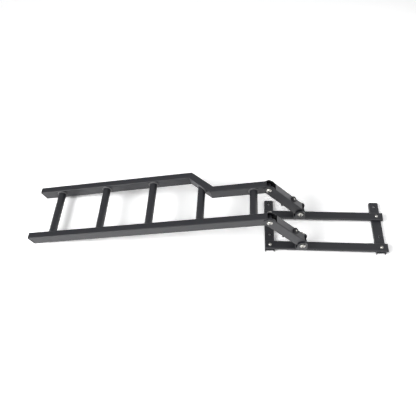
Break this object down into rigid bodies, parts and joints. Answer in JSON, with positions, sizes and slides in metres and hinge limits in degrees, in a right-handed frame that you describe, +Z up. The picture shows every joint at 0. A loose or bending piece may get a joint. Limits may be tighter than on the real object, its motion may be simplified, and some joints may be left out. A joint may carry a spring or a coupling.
{
  "type": "tailgate ladder",
  "caption": "Folding ladder with tube rails and round rungs, hinged by channel arms to a flat frame that bolts to a tailgate; one rail jogs inward near the top.",
  "frame": {"origin": "centre of the four tailgate mounting holes, on top of the crossbars, where the mounting bolts seat", "axes": "+X along the base bars, away from the ladder's feet; +Y across the rungs, towards the rail with the jog; +Z up, away from the tailgate"},
  "size_m": [1.5944, 0.2971, 0.2603],
  "materials": {
    "powder_coat": "fine-textured black powder coat",
    "zinc": "bright zinc plate",
    "rubber": "matte black",
    "nylon": "matte black"
  },
  "bodies": {
    "base": {"left_crossbar": "powder_coat", "right_crossbar": "powder_coat", "near_bar": "powder_coat", "far_bar": "powder_coat", "base_bolts": "zinc", "base_washers": "zinc", "base_nuts": "zinc", "near_hinge_block": "powder_coat", "near_outer_ear": "powder_coat", "near_inner_ear": "powder_coat", "near_base_pivot_bolt": "zinc", "near_base_pivot_nut": "zinc", "near_base_pivot_washers": "zinc", "near_thrust_washers": "nylon", "far_hinge_block": "powder_coat", "far_outer_ear": "powder_coat", "far_inner_ear": "powder_coat", "far_base_pivot_bolt": "zinc", "far_base_pivot_nut": "zinc", "far_base_pivot_washers": "zinc", "far_thrust_washers": "nylon"},
    "near_arm": {"near_arm": "powder_coat", "near_arm_spacer": "powder_coat", "near_ladder_pivot_bolt": "zinc", "near_ladder_pivot_nut": "zinc", "near_ladder_pivot_washers": "zinc", "near_stop_bumper": "rubber", "near_stop_stud": "zinc", "near_stop_nut": "zinc", "near_stop_tip": "rubber"},
    "far_arm": {"far_arm": "powder_coat", "far_arm_spacer": "powder_coat", "far_ladder_pivot_bolt": "zinc", "far_ladder_pivot_nut": "zinc", "far_ladder_pivot_washers": "zinc", "far_stop_bumper": "rubber", "far_stop_stud": "zinc", "far_stop_nut": "zinc", "far_stop_tip": "rubber"},
    "ladder": {"near_rail": "powder_coat", "far_rail": "powder_coat", "rung_1": "powder_coat", "rung_2": "powder_coat", "rung_3": "powder_coat", "rung_4": "powder_coat", "rung_5": "powder_coat", "near_rail_sleeve": "powder_coat", "far_rail_sleeve": "powder_coat", "near_foot_plug": "rubber", "far_foot_plug": "rubber"}
  },
  "joints": [
    {"name": "near_arm_swing", "type": "hinge", "parent": "base", "child": "near_arm", "pos_m": [-0.106, -0.138, 0.0504], "axis": [0, 1, 0], "range_deg": [-46, 131.5]},
    {"name": "far_arm_swing", "type": "hinge", "parent": "base", "child": "far_arm", "pos_m": [-0.106, 0.022, 0.0504], "axis": [0, 1, 0], "range_deg": [-46, 131.5]},
    {"name": "ladder_swing", "type": "hinge", "parent": "near_arm", "child": "ladder", "pos_m": [-0.25915, -0.138, 0.2193], "axis": [0, 1, 0], "range_deg": [-30, 58.5]}
  ],
  "couplings": [
    {"joint": "far_arm_swing", "follows": "near_arm_swing", "ratio": 1}
  ]
}
